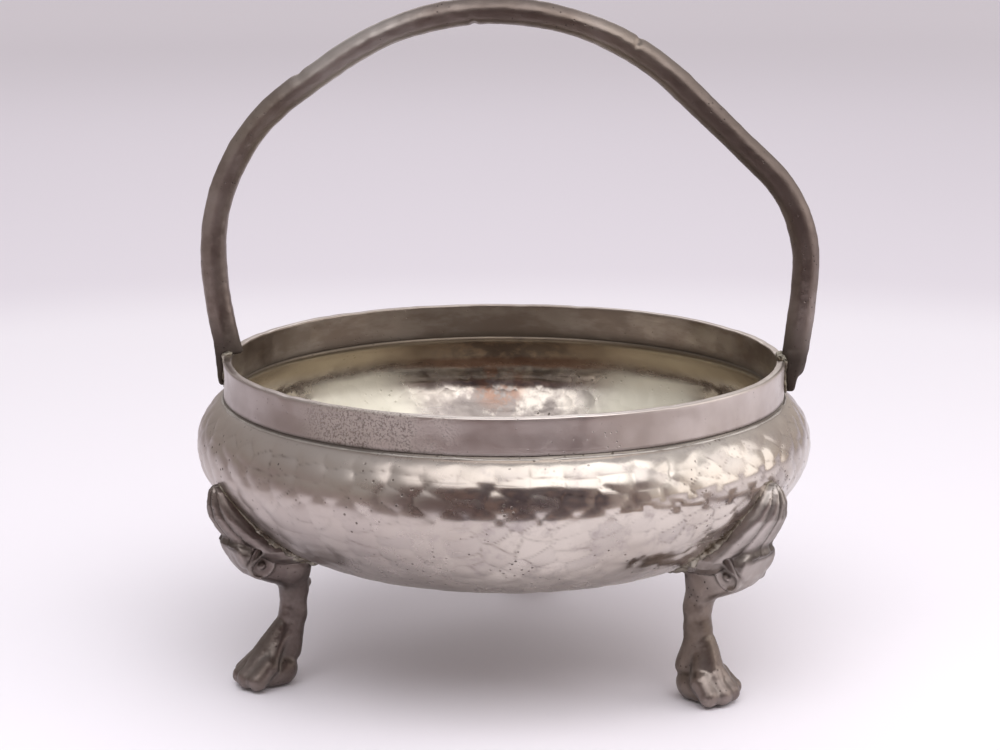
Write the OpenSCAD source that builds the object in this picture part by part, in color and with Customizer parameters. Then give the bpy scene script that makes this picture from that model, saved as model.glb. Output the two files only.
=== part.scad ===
// Hand-made pewter shaving bowl: a raised bowl with a soldered rim band,
// a fixed arched carrying handle and three cast paw feet.
// Millimetres. The origin is on the bowl's axis, on the surface that it stands on.
// +Z is up, the handle spans X, and -Y is the front.

/* [Rim band] */
// Outer diameter of the lip
rim_d = 120; // [119:0.5:121]
// Height of the band
band_h = 7.7; // [7:0.1:8.5]
// Thickness of the band
band_t = 1.8; // [1.5:0.1:2.2]
// Rounding of the lip's edges
lip_round = 0.5; // [0.2:0.1:0.7]

/* [Bowl] */
// Height of the lip above the table
rim_z = 66.7; // [66:0.1:67.5]
// Thickness of the bowl's wall
wall = 1.6; // [1.3:0.1:2]
// Radius of the curve at the bowl's shoulder
shoulder_r = 11; // [10.6:0.1:11.4]
// Angle below level where the shoulder curve ends
shoulder_end = 26; // [24:1:28]
// Radius of the curve at the bowl's flank
flank_r = 33; // [32:0.5:34]
// Angle below level where the flank curve ends
flank_end = 65; // [63:1:67]
// Radius of the curve under the bowl
bottom_r = 61; // [58:0.5:64]

/* [Handle] */
// Diameter of the handle's rod
rod_d = 5.4; // [5:0.1:5.8]
// Where the left leg's centre starts, from the bowl's axis
rod_start_x = -58.8; // [-59.1:0.1:-58.5]
// How far the left leg leans outwards as it rises, in degrees
rod_start_lean = 14.5; // [14:0.5:15]
// Turn of the handle about the bowl's axis, in degrees
handle_yaw = -3; // [-6:1:6]
// Width of the tongue at each end of the handle
tongue_w = 4.8; // [4:0.1:5.2]

/* [Feet] */
// Direction of the left foot, in degrees anticlockwise from +X
left_foot_angle = 203.5; // [200:0.5:208]
// Distance from the bowl's axis to the middle of the paws
paw_ring_r = 53.2; // [52.8:0.1:53.8]
// How far the leaves are turned about the bowl's axis from their paws, in degrees
leaf_turn = 2; // [0:0.5:3]
// Radius of the leg at its thinnest
leg_r = 2.8; // [2.4:0.1:3.2]
// Number of toes on a paw
toes = 4; // [3:1:5]

/* [Solder] */
// Thickness of the solder behind a foot's leaf or a handle's tongue
film = 0.3; // [0.2:0.05:0.4]
// Radius of the solder bead below the rim band
bead_r = 0.55; // [0.4:0.05:0.6]
// How far the solder shows round the edge of a joint
fillet = 0.8; // [0.5:0.1:1]

/* [Hidden] */
$fn = 96;
arc_steps = 10;
hull_fn = 20;
rod_sides = 20;

pewter = "#8f8883";
pale_pewter = "#a49c97";
dark_pewter = "#6f6762";
solder_grey = "#77705f";

rim_r = rim_d / 2;
mouth_r = rim_r - band_t;
seam_z = rim_z - band_h;

// The feet were set by hand, so they differ a little. Each is
// [direction, how far out its paw's middle is, how far out its leg is moved].
feet = [
  [left_foot_angle, paw_ring_r + 1.1, 0],
  [left_foot_angle + 119.5, paw_ring_r - 1.3, 1.4],
  [left_foot_angle - 120, paw_ring_r, 0.5]
];

// The bowl's three curves run smoothly into each other. Their centres are
// [distance from the axis, height]. A short upright neck joins them to the seam.
neck_h = 0.4;
shoulder_x = rim_r - 5.1;
shoulder_c = [shoulder_x, seam_z - neck_h - sqrt(pow(shoulder_r, 2) - pow(rim_r - shoulder_x, 2))];
flank_c = shoulder_c - (flank_r - shoulder_r) * below(shoulder_end);
bottom_c = flank_c - (bottom_r - flank_r) * below(flank_end);

// The handle's rod from its left end to its right. Each step is
// [length along the rod, degrees that it turns, rings that draw it].
rod_steps = [
  [19.5, 9.5, 3], [45, 60, 12], [12, 0.5, 2], [77.5, 78, 16],
  [25, 0.5, 3], [24.5, 49.5, 10], [20, 6, 3]
];
rod_root = 1.6;
rod_start = [rod_start_x, rim_z - rod_root];

// Thickness of each end's tongue: [at the lip, at the tip].
left_tongue = [1.8, 1.1];
right_tongue = [3.3, 1.9];
tongue_tip_z = seam_z + 0.4;
// The tongues run up this far into the rod above the lip.
tongue_overlap = 1.2;

// Margin by which a cut runs past what it cuts.
past = 5;

// ---------------------------------------------------------------- bowl

// Direction that points a given angle below level.
function below(a) = [cos(a), -sin(a)];

// Points on a curve about a centre, between two angles below level.
function curve(centre, r, from, to) =
  [for (i = [0:arc_steps]) centre + r * below(from + (to - from) * i / arc_steps)];

// One face of the bowl's wall from its neck down to the middle of its base,
// grown outwards by g.
function wall_face(neck_r, g) = concat(
  [[neck_r, seam_z]],
  curve(shoulder_c, shoulder_r + g, -acos((neck_r - shoulder_x) / (shoulder_r + g)), shoulder_end),
  curve(flank_c, flank_r + g, shoulder_end + 3, flank_end),
  curve(bottom_c, bottom_r + g, flank_end + 2, 90),
  [[0, bottom_c[1] - bottom_r - g]]
);

function reversed(list) = [for (i = [len(list) - 1:-1:0]) list[i]];

module bowl_shell() {
  color(pewter)
    rotate_extrude()
      polygon(concat(wall_face(rim_r, 0), reversed(wall_face(mouth_r, -wall))));
}

// The whole space inside the bowl's outer face grown by g.
module bowl_space(g) {
  rotate_extrude()
    polygon(concat([[0, seam_z]], wall_face(rim_r, g)));
}

// ---------------------------------------------------------------- rim

module rim_band() {
  r = lip_round;
  color(pale_pewter)
    rotate_extrude()
      polygon(concat(
        [[mouth_r, seam_z], [rim_r, seam_z]],
        curve([rim_r - r, rim_z - r], r, 0, -90),
        curve([mouth_r + r, rim_z - r], r, -90, -180)
      ));
}

// A bead laid in the corner between the band and the bowl's shoulder.
module seam_solder() {
  color(solder_grey)
    rotate_extrude()
      difference() {
        translate([rim_r, seam_z - neck_h / 2])
          circle(r = bead_r, $fn = 24);
        polygon(concat([[0, seam_z]], wall_face(rim_r, 0)));
        translate([0, seam_z])
          square([rim_r, bead_r * 2]);
      }
}

// ---------------------------------------------------------------- handle

// Direction to the right of a heading in the handle's upright plane.
function to_right(a) = [sin(a), -cos(a)];

// Place and heading a share f of the way along a step, from where it starts.
function step_place(p, a, step, f) =
  let (r = step[0] / (step[1] * PI / 180), b = a - f * step[1])
  p + r * (to_right(a) - to_right(b));
function rod_heading(i) = i == 0 ? 90 + rod_start_lean : rod_heading(i - 1) - rod_steps[i - 1][1];
function rod_point(i) = i == 0
  ? rod_start
  : step_place(rod_point(i - 1), rod_heading(i - 1), rod_steps[i - 1], 1);

// The rings along one step, each [place, heading].
function step_rings(i) =
  let (p = rod_point(i), a = rod_heading(i), step = rod_steps[i])
  [for (k = [0:step[2] - 1]) [step_place(p, a, step, k / step[2]), a - step[1] * k / step[2]]];
function rod_rings() =
  let (n = len(rod_steps))
  concat([for (i = [0:n - 1]) each step_rings(i)], [[rod_point(n), rod_heading(n)]]);

// Corners of one ring: its radius keeps the area of a round section.
function ring_corners(ring) =
  let (
    step = 360 / rod_sides,
    r = rod_d / 2 * sqrt((2 * PI / rod_sides) / sin(step)),
    side = to_right(ring[1])
  )
  [for (k = [0:rod_sides - 1])
    [ring[0][0] + r * cos(k * step) * side[0], r * sin(k * step), ring[0][1] + r * cos(k * step) * side[1]]];

module rod() {
  rings = rod_rings();
  n = rod_sides;
  last = len(rings) - 1;
  polyhedron(
    points = [for (ring = rings) each ring_corners(ring)],
    faces = concat(
      [[for (k = [0:n - 1]) k]],
      [for (i = [0:last - 1]) for (k = [0:n - 1])
        [i * n + k, (i + 1) * n + k, (i + 1) * n + (k + 1) % n, i * n + (k + 1) % n]],
      [[for (k = [n - 1:-1:0]) last * n + k]]
    ),
    convexity = 6
  );
}

// A strip that hangs along +X from above the lip to its rounded tip, grown by g.
module strap(g) {
  w = tongue_w + 2 * g;
  z = tongue_tip_z - g;
  translate([mouth_r - past, 0, 0])
    rotate([90, 0, 90])
      linear_extrude(band_t + 3 * past) {
        translate([0, z + w / 2])
          circle(d = w, $fn = 32);
        translate([-w / 2, z + w / 2])
          square([w, rim_z + tongue_overlap - z - w / 2]);
      }
}

// A flattened tongue down the outside of the band, on the +X side.
module tongue(t) {
  inner = rim_r + film;
  top = rim_z + tongue_overlap;
  intersection() {
    rotate_extrude()
      polygon([
        [inner, seam_z], [inner + t[1], seam_z],
        [inner + t[0], rim_z], [inner + t[0], top], [inner, top]
      ]);
    strap(0);
  }
}

// The handle along X: each end is notched, so that its inner part stops on the
// lip and its outer part runs on down the band.
module straight_handle() {
  difference() {
    union() {
      rod();
      mirror([1, 0, 0])
        tongue(left_tongue);
      tongue(right_tongue);
    }
    difference() {
      translate([0, 0, seam_z - past])
        cylinder(r = rim_r + film, h = band_h + past);
      translate([0, 0, seam_z - 2 * past])
        cylinder(r = mouth_r - past, h = band_h + 3 * past);
    }
  }
}

module handle() {
  color(dark_pewter)
    rotate([0, 0, handle_yaw])
      straight_handle();
}

// Solder behind and round a tongue, and round the shoulder above it.
module handle_solder(side_turn) {
  color(solder_grey)
    rotate([0, 0, handle_yaw])
      difference() {
        rotate([0, 0, side_turn]) {
          intersection() {
            rotate_extrude()
              translate([rim_r, seam_z])
                square([2 * film, band_h + fillet]);
            strap(fillet);
          }
          intersection() {
            rotate_extrude()
              translate([mouth_r + lip_round, rim_z])
                square([band_t - lip_round, fillet]);
            translate([mouth_r - past, -rod_d / 2 - fillet, rim_z - past])
              cube([band_t + 2 * past, rod_d + 2 * fillet, 2 * past]);
          }
        }
        straight_handle();
      }
}

// ---------------------------------------------------------------- feet

module ball(p, r) {
  translate(p)
    sphere(r = r, $fn = hull_fn);
}

// A ball on each side of the foot's middle.
module balls(p, r) {
  ball(p, r);
  ball([p[0], -p[1], p[2]], r);
}

module paw(paw_x) {
  // From the outermost toe on one side to the one on the other
  spread = 8.6;
  hull() {
    ball([paw_x - 3.6, 0, 3.4], 3.3);
    balls([paw_x + 2, 2.6, 3.2], 3);
    translate([paw_x - 3.5, -2.8, 0])
      cube([6.5, 5.6, 1]);
  }
  for (i = [0:toes - 1]) {
    y = spread * (i / (toes - 1) - 0.5);
    x = paw_x + 5.1 - 0.06 * y * y;
    translate([x, y, 2.2])
      sphere(r = 2, $fn = 32);
    translate([x - 2.2, y * 0.86, 4.1])
      sphere(r = 2, $fn = 32);
  }
}

module leg(paw_x, out) {
  hull() {
    ball([50 + out, 0, 25.5], 4.2);
    ball([48.2 + out, 0, 15], leg_r);
  }
  hull() {
    ball([48.2 + out, 0, 15], leg_r);
    ball([paw_x - 3.4, 0, 4.6], 3.2);
  }
  // The instep, which runs down from the shin to the toes
  hull() {
    ball([49.6 + out, 0, 13], 1.8);
    balls([paw_x + 2.6, 1.8, 4.8], 1.6);
  }
}

// The swelling knee, and the pointed leaf that spreads up the bowl's flank.
module knee(out) {
  hull() {
    ball([50.5 + out, 0, 26.5], 4);
    balls([59.4 + out, 3, 30], 3.6);
    balls([62.2 + out / 2, 4, 35], 3.6);
    ball([62.8, 0, 40], 3.4);
  }
  hull() {
    balls([50, 6.2, 30.5], 1.6);
    balls([61.8, 6.4, 37], 1.8);
    balls([65.3, 3.4, 43], 1.6);
    ball([66.2, 0, 46.6], 1);
  }
  // Scrolls that close the sides of the knee
  translate([57 + out, 0, 27.4])
    rotate([90, 0, 0])
      cylinder(r = 2.8, h = 11.4, center = true, $fn = 32);
}

module foot_blank(paw_x, out) {
  difference() {
    union() {
      paw(paw_x);
      leg(paw_x, out);
      rotate([0, 0, leaf_turn])
        knee(out);
    }
    translate([rim_r / 2, -rim_r / 2, -past])
      cube([rim_r, rim_r, past]);
  }
}

module foot(i) {
  color(dark_pewter)
    rotate([0, 0, feet[i][0]])
      difference() {
        foot_blank(feet[i][1], feet[i][2]);
        bowl_space(film);
      }
}

// Solder between a foot and the bowl, showing round the leaf's edge.
module foot_solder(i) {
  color(solder_grey)
    rotate([0, 0, feet[i][0] + leaf_turn])
      difference() {
        intersection() {
          bowl_space(film);
          hull() {
            balls([49, 6.2, 30], 1.6 + fillet);
            balls([60.4, 6.4, 37], 1.8 + fillet);
            balls([63.8, 3.4, 43], 1.6 + fillet);
            ball([64.8, 0, 46.6], 1 + fillet);
          }
        }
        bowl_space(0);
      }
}

bowl_shell();
rim_band();
seam_solder();
handle();
handle_solder(180);  // handle_solder_left
handle_solder(0);  // handle_solder_right
foot(0);  // foot_left
foot(1);  // foot_right
foot(2);  // foot_back
foot_solder(0);  // foot_solder_left
foot_solder(1);  // foot_solder_right
foot_solder(2);  // foot_solder_back
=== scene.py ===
"""Looks of the hammered pewter shaving bowl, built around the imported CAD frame.

Shapes are worked out in millimetres; Blender gets metres, and so do the materials and the studio."""

import math

import bpy
import numpy as np
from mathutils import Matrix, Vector


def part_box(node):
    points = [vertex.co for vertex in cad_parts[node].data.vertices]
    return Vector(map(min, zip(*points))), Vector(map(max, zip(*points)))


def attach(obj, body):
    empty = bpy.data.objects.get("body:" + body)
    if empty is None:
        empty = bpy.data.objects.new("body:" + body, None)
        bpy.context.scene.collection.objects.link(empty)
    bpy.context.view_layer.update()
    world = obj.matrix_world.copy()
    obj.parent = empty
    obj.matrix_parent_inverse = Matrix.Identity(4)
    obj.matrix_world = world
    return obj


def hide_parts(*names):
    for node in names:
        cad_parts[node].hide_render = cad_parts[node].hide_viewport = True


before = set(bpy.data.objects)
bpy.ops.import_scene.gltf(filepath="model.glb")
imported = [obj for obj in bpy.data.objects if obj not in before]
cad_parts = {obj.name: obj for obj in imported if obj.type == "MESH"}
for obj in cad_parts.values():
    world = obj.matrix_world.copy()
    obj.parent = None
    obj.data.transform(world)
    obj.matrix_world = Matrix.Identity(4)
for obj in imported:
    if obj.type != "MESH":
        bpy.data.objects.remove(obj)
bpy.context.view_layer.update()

MM = 0.001

# ------------------------------------------------------------------ sizes, in millimetres

rim_low, rim_high = (np.array(v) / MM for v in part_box("rim_band"))
RIM_R = float(rim_high[0] - rim_low[0]) / 2
SEAM_Z = float(rim_low[2])
RIM_Z = float(rim_high[2])
MOUTH_R = RIM_R - 1.8
WALL = 1.6
NECK_H = 0.4
# The wall's section is three arcs, which meet at these angles below level
SHOULDER_R, FLANK_R, BOTTOM_R = 11.0, 33.0, 61.0
SHOULDER_END, FLANK_END = math.radians(26), math.radians(65)
ROD_R = 2.7
HANDLE_YAW = math.radians(-3)
# The solder between the band and the handle's tongues
FILM = 0.3
# Segments round the rim, and how far down the wall the mesh stays that fine
AROUND = 704
FINE_WALL = 38.0
# Halvings of the rings towards the bowl's middle, and the radius that they are worked out from
MOST_HALVINGS, WIDEST_R = 5, 66
# Points whose hammer marks are worked out together, and how quickly a crease fades
AT_ONCE, CREASE_WIDTH = 8192, 0.022

# [name, direction in degrees, how far out its paw and its knee are, how much lower its leaf's tip is]
FEET = [("left", 203.5, 0.9, 1.2, 2.6), ("right", 323.0, -1.1, 3.0, -0.4), ("back", 83.5, 0.0, 0.8, 1.0)]
LEAF_TURN = math.radians(2)


def below(a):
    """The direction this far below level, in the section's plane."""
    return np.array([math.cos(a), -math.sin(a)])


shoulder_x = RIM_R - 5.1
shoulder_drop = NECK_H + math.sqrt(SHOULDER_R**2 - (RIM_R - shoulder_x) ** 2)
shoulder_c = np.array([shoulder_x, SEAM_Z - shoulder_drop])
flank_c = shoulder_c - (FLANK_R - SHOULDER_R) * below(SHOULDER_END)
bottom_c = flank_c - (BOTTOM_R - FLANK_R) * below(FLANK_END)


def bowl_gap(rho, z):
    """Signed distance from the bowl's smooth outer face, positive outside."""
    a1 = np.arctan2(shoulder_c[1] - z, rho - shoulder_c[0])
    a2 = np.arctan2(flank_c[1] - z, rho - flank_c[0])
    d1 = np.hypot(rho - shoulder_c[0], z - shoulder_c[1]) - SHOULDER_R
    d2 = np.hypot(rho - flank_c[0], z - flank_c[1]) - FLANK_R
    d3 = np.hypot(rho - bottom_c[0], z - bottom_c[1]) - BOTTOM_R
    d3 = np.where(rho < bottom_c[0], bottom_c[1] - BOTTOM_R - z, d3)
    return np.where(a1 < SHOULDER_END, d1, np.where(a2 < FLANK_END, d2, d3))


def wall_profile(neck_r, g, step, fine_until=1e9):
    """Points down one face of the bowl's wall, their outward normals and their distances along it.

    The face is g outside the smooth outer one. The points are twice as far apart past fine_until."""
    dense = [[neck_r, SEAM_Z]]
    start = -math.acos((neck_r - shoulder_x) / (SHOULDER_R + g))
    for centre, r, a0, a1 in (
        (shoulder_c, SHOULDER_R + g, start, SHOULDER_END),
        (flank_c, FLANK_R + g, SHOULDER_END, FLANK_END),
        (bottom_c, BOTTOM_R + g, FLANK_END, math.pi / 2),
    ):
        for a in np.linspace(a0, a1, 80)[1 if centre is not shoulder_c else 0 :]:
            dense.append(list(centre + r * below(a)))
    dense.append([0.0, bottom_c[1] - BOTTOM_R - g])
    return resampled(np.array(dense), step, fine_until)


def resampled(line, step, fine_until):
    lengths = np.r_[0, np.cumsum(np.hypot(*np.diff(line, axis=0).T))]
    fine = min(fine_until, lengths[-1])
    s = np.linspace(0, fine, int(round(fine / step)) + 1)
    if fine < lengths[-1]:
        s = np.r_[s, np.linspace(fine, lengths[-1], int(round((lengths[-1] - fine) / step / 2)) + 1)[1:]]
    points = np.column_stack([np.interp(s, lengths, line[:, k]) for k in (0, 1)])
    along = np.gradient(points, axis=0)
    along /= np.linalg.norm(along, axis=1)[:, None]
    return points, np.column_stack([along[:, 1], -along[:, 0]]), s


# ------------------------------------------------------------------ noise and hammer marks


def waves(p, length, seed, count=28):
    """Smooth seeded noise of about unit spread, with features about that long."""
    rng = np.random.default_rng(seed)
    k = rng.normal(size=(count, 3))
    k *= (2 * math.pi / length) * rng.uniform(0.6, 1.5, count)[:, None] / np.linalg.norm(k, axis=1)[:, None]
    phase = rng.uniform(0, 2 * math.pi, count)
    return np.sin(p @ k.T + phase).sum(1) * math.sqrt(2 / count)


def smooth(x, lo, hi):
    t = np.clip((x - lo) / (hi - lo), 0, 1)
    return t * t * (3 - 2 * t)


def hammer_marks(points, profile, pitch, widths, tilt, depth, seed):
    """Height of planished facets over a turned surface, and how near each point is to a crease.

    Each blow leaves a nearly flat spot, and the deepest blow wins, so that creases stand between them."""
    rng = np.random.default_rng(seed)
    line, normals, s = profile
    lean = np.unwrap(np.arctan2(normals[:, 1], normals[:, 0]))
    bend = np.convolve(np.abs(np.gradient(lean, s)), np.ones(5) / 5, "same")
    rows = []
    for row, u in enumerate(np.arange(0.5, s[-1], pitch)):
        rho = np.interp(u, s, line[:, 0])
        z = np.interp(u, s, line[:, 1])
        n2 = np.array([np.interp(u, s, normals[:, k]) for k in (0, 1)])
        n2 /= np.linalg.norm(n2)
        count = max(1, int(round(2 * math.pi * rho / widths)))
        local = np.interp(u, s, bend)
        curve_t = np.full(count, depth * (0.012 + 0.62 * local))
        curve_c = np.full(count, depth * (0.026 + 0.20 * local))
        theta = (np.arange(count) + 0.5 * (row % 2) + rng.normal(0, 0.07, count)) * 2 * math.pi / count
        du = rng.normal(0, 0.07 * pitch, count)
        down = np.array([n2[1], -n2[0]])
        cx, sx = np.cos(theta), np.sin(theta)
        rho_j = rho + du * down[0]
        place = np.column_stack([rho_j * cx, rho_j * sx, z + du * down[1]])
        t = np.column_stack([down[0] * cx, down[0] * sx, np.full(count, down[1])])
        c = np.column_stack([-sx, cx, np.zeros(count)])
        n = np.column_stack([n2[0] * cx, n2[0] * sx, np.full(count, n2[1])])
        a = rng.normal(0, 0.006 * depth, count)
        g = rng.normal(0, tilt, (count, 2))
        rows.append((place, t, c, n, a, g, curve_t, curve_c))
    place, t, c, n, a, g, curve_t, curve_c = (np.concatenate(x) for x in zip(*rows))
    q = (
        np.einsum("i,ij,ik->ijk", curve_t, t, t)
        + np.einsum("i,ij,ik->ijk", curve_c, c, c)
        + np.einsum("i,ij,ik->ijk", curve_c, n, n)
    )
    slope = g[:, :1] * t + g[:, 1:] * c
    linear = slope - np.einsum("ijk,ik->ij", q, place)
    const = a - np.einsum("ij,ij->i", slope, place) + 0.5 * np.einsum("ij,ijk,ik->i", place, q, place)
    squares = [q[:, k, k] / 2 for k in range(3)]
    coefs = np.column_stack([*squares, q[:, 0, 1], q[:, 1, 2], q[:, 0, 2], linear, const])
    height, crease, tone = (np.empty(len(points)) for _ in range(3))
    tones = rng.random(len(coefs))
    for i in range(0, len(points), AT_ONCE):
        part = slice(i, i + AT_ONCE)
        p = points[part]
        x, y, z = p.T
        feats = np.column_stack([x * x, y * y, z * z, x * y, y * z, z * x, p, np.ones(len(p))])
        all_heights = feats @ coefs.T
        tone[part] = tones[np.argmin(all_heights, axis=1)]
        two = np.partition(all_heights, 1, axis=1)[:, :2]
        height[part] = two[:, 0]
        crease[part] = two[:, 1] - two[:, 0]
    return height, np.exp(-crease / CREASE_WIDTH), tone


# ------------------------------------------------------------------ meshes


def placed(name, data):
    """A new object in the scene."""
    thing = bpy.data.objects.new(name, data)
    bpy.context.scene.collection.objects.link(thing)
    return thing


def add_piece(name, points, faces, stands_for, material, values):
    """A smooth-shaded piece from points in millimetres, which rides on the root body.

    The values are attributes that its material reads, with one number for each point."""
    mesh = bpy.data.meshes.new(name)
    mesh.from_pydata((np.asarray(points) * MM).tolist(), [], faces)
    mesh.shade_smooth()
    for key, value in values.items():
        mesh.attributes.new(key, "FLOAT", "POINT").data.foreach_set("value", np.asarray(value, np.float32))
    mesh.materials.append(material)
    piece = placed(name, mesh)
    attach(piece, "root")
    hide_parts(stands_for)


def ring_segments(profile, halvings):
    """Segments of each ring: half as many past FINE_WALL, and each time that the face narrows by half."""
    counts = []
    for rho, along in zip(profile[0][:, 0], profile[2]):
        k = halvings + int(along > FINE_WALL)
        while k < MOST_HALVINGS and rho < WIDEST_R / 2 ** (k + 1):
            k += 1
        counts.append(AROUND >> k)
    return counts


def ring_faces(start_a, n_a, start_b, n_b):
    """Faces between two rings, where the second has as many segments or half as many."""
    faces = []
    if n_a == n_b:
        for i in range(n_a):
            j = (i + 1) % n_a
            faces.append((start_a + i, start_b + i, start_b + j, start_a + j))
        return faces
    if n_a < n_b:
        return [f[::-1] for f in ring_faces(start_b, n_b, start_a, n_a)]
    for i in range(n_b):
        j = (i + 1) % n_b
        a0, a1, a2 = start_a + 2 * i, start_a + 2 * i + 1, start_a + (2 * i + 2) % n_a
        faces.append((a0, start_b + i, a1))
        faces.append((a1, start_b + i, start_b + j, a2))
    return faces


def turned_points(profile, counts):
    line, normals, s = profile
    points, outward, along = [], [], []
    for (rho, z), (nr, nz), u, n in zip(line, normals, s, counts):
        theta = np.arange(n) * 2 * math.pi / n
        points.append(np.column_stack([rho * np.cos(theta), rho * np.sin(theta), np.full(n, z)]))
        outward.append(np.column_stack([nr * np.cos(theta), nr * np.sin(theta), np.full(n, nz)]))
        along.append(np.full(n, u))
    return np.concatenate(points), np.concatenate(outward), np.concatenate(along)


def shell_face(profile, halvings, hammered, lift, darkening, marks):
    """One face of the shell: points, faces, values for each point, and the segments of its first ring.

    The hammering fades in over the stretch hammered, and the darkening reaches this far down from the neck:
    soiling in the joint outside, and inside a wider painted shadow under the band."""
    rings = [part[:-1] for part in profile]
    counts = ring_segments(rings, halvings)
    points, outward, along = turned_points(rings, counts)
    height, crease, tone = hammer_marks(points, profile, **marks)
    wobble = 0.10 * waves(points, 42, 5) + 0.025 * waves(points, 9, 6)
    fade = smooth(along, *hammered)
    shift = fade * (height + lift) + smooth(along, 0.5, 8) * wobble
    points = np.vstack([points + outward * shift[:, None], [0, 0, profile[0][-1, 1]]])
    starts = [0, *np.cumsum(counts).tolist()]
    faces = []
    for i in range(len(counts) - 1):
        faces += ring_faces(starts[i], counts[i], starts[i + 1], counts[i + 1])
    tip, last, n = starts[-1], starts[-2], counts[-1]
    faces += [(last + i, tip, last + (i + 1) % n) for i in range(n)]
    values = {
        "crease": np.r_[crease * fade, 0],
        "facet": np.r_[0.5 + (tone - 0.5) * fade, 0.5],
        # Dark at the neck: soiling in the joint outside, and a wider painted shadow under the band inside
        "dirt_and_shade": np.r_[np.exp(-((along / darkening) ** 2)), 0],
    }
    return points, faces, values, counts[0]


def build_shell(material):
    outer, faces, outer_values, outer_count = shell_face(
        wall_profile(RIM_R, 0, 0.45, FINE_WALL), 0, (1.5, 5.5), 0.16, 0.8,
        dict(pitch=3.3, widths=7.1, tilt=0.022, depth=1.0, seed=11),
    )
    inner, inner_faces, inner_values, inner_count = shell_face(
        wall_profile(MOUTH_R, -WALL, 1.0), 1, (6, 12), -0.04, 1.5,
        dict(pitch=3.6, widths=4.8, tilt=0.008, depth=0.55, seed=29),
    )
    n = len(outer)
    faces += [tuple(v + n for v in f[::-1]) for f in inner_faces]
    faces += [f[::-1] for f in ring_faces(0, outer_count, n, inner_count)]
    values = {key: np.r_[outer_values[key], inner_values[key]] for key in outer_values}
    values["inside"] = np.r_[np.zeros(n), np.ones(len(inner))]
    points = np.vstack([outer, inner])
    add_piece("bowl_hammered_wall", points, faces, "bowl_shell", material, values)


def build_turned(name, outline, shape, stands_for, material):
    """A closed ring turned from an outline of [radius, height] points.

    shape(points, angle) gives the points moved, and their values."""
    rho, z = outline.T
    m = len(rho)
    theta = (np.arange(AROUND) * 2 * math.pi / AROUND)[:, None]
    points = np.stack([rho * np.cos(theta), rho * np.sin(theta), np.broadcast_to(z, (AROUND, m))], axis=-1)
    points, values = shape(points.reshape(-1, 3), np.repeat(theta[:, 0], m))
    faces = []
    for i in range(AROUND):
        a, b = i * m, ((i + 1) % AROUND) * m
        for j in range(m):
            k = (j + 1) % m
            faces.append((a + j, b + j, b + k, a + k))
    add_piece(name, points, faces, stands_for, material, values)


# ------------------------------------------------------------------ shapes from distance fields


def norm(v):
    return np.sqrt((v * v).sum(-1))


def smin(a, b, k):
    """Two shapes joined, with a fillet of about k."""
    h = np.clip(0.5 + 0.5 * (b - a) / k, 0, 1)
    return b + (a - b) * h - k * h * (1 - h)


def smax(a, b, k):
    """What two shapes share, with edges rounded by about k."""
    return -smin(-a, -b, k)


def limb(p, a, b, ra, rb):
    """A round bar from a to b whose radius changes evenly."""
    a, b = np.array(a, float), np.array(b, float)
    ab = b - a
    t = np.clip((p - a) @ ab / (ab @ ab), 0, 1)
    return norm(p - a - t[:, None] * ab) - (ra + (rb - ra) * t)


def egg(p, c, r):
    """An ellipsoid at c with half-axes r."""
    r = np.array(r, float)
    q = (p - np.array(c, float)) / r
    reach = norm(q)
    return reach * (reach - 1) / (norm(q / r) + 1e-9)


def carve(field, lo, hi, step):
    """Points and faces of the surface where a distance field is nought, by surface nets.

    The field is sampled coarsely first, and finely only near the surface, which must clear the box."""
    lo, hi = np.array(lo, float), np.array(hi, float)
    coarse = 4
    n = np.ceil((hi - lo) / step / coarse).astype(int) * coarse + 1
    axes = [lo[k] + step * np.arange(n[k]) for k in range(3)]
    rough = np.stack(np.meshgrid(*[a[::coarse] for a in axes], indexing="ij"), -1)
    far = field(rough.reshape(-1, 3)).reshape(rough.shape[:3])
    nearest = [np.minimum((np.arange(m) + coarse // 2) // coarse, f - 1) for m, f in zip(n, far.shape)]
    grid = far[np.ix_(*nearest)]
    close = np.argwhere(np.abs(grid) < coarse * step * 1.7)
    for c in np.array_split(close, len(close) // 100000 + 1):
        grid[tuple(c.T)] = field(lo + step * c)
    cells = n - 1
    inside = grid < 0
    total = int(np.prod(cells))
    sums, counts, quads = np.zeros((total, 3)), np.zeros(total), []
    for axis in range(3):
        unit = np.eye(3, dtype=int)[axis]
        low = inside[tuple(slice(0, -1) if k == axis else slice(None) for k in range(3))]
        high = inside[tuple(slice(1, None) if k == axis else slice(None) for k in range(3))]
        at = np.argwhere(low != high)
        fa, fb = grid[tuple(at.T)], grid[tuple((at + unit).T)]
        cross = at.astype(float)
        cross[:, axis] += fa / (fa - fb)
        o1, o2 = (axis + 1) % 3, (axis + 2) % 3
        ring = []
        for d1, d2 in ((0, 0), (-1, 0), (-1, -1), (0, -1)):
            c = at.copy()
            c[:, o1] += d1
            c[:, o2] += d2
            ring.append(np.ravel_multi_index(c.T, cells))
        for flat in ring:
            counts += np.bincount(flat, minlength=len(counts))
            for k in range(3):
                sums[:, k] += np.bincount(flat, weights=cross[:, k], minlength=len(counts))
        quad = np.stack(ring, 1)
        flip = ~low[tuple(at.T)]
        quad[flip] = quad[flip][:, ::-1]
        quads.append(quad)
    used = np.flatnonzero(counts)
    number = np.full(len(counts), -1)
    number[used] = np.arange(len(used))
    points = lo + step * sums[used] / counts[used][:, None]
    # Draw the points onto the surface
    for _ in range(2):
        d = field(points)
        g = gradient(field, points, d)
        move = -(d / np.maximum((g * g).sum(1), 0.3))[:, None] * g
        size = np.maximum(norm(move), 1e-9)
        points = points + move * np.minimum(1, 0.6 * step / size)[:, None]
    return points, [tuple(f) for f in number[np.concatenate(quads)].tolist()]


def gradient(field, points, d=None):
    eps = 0.04
    d = field(points) if d is None else d
    return np.column_stack([(field(points + eps * e) - d) / eps for e in np.eye(3)])


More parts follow.
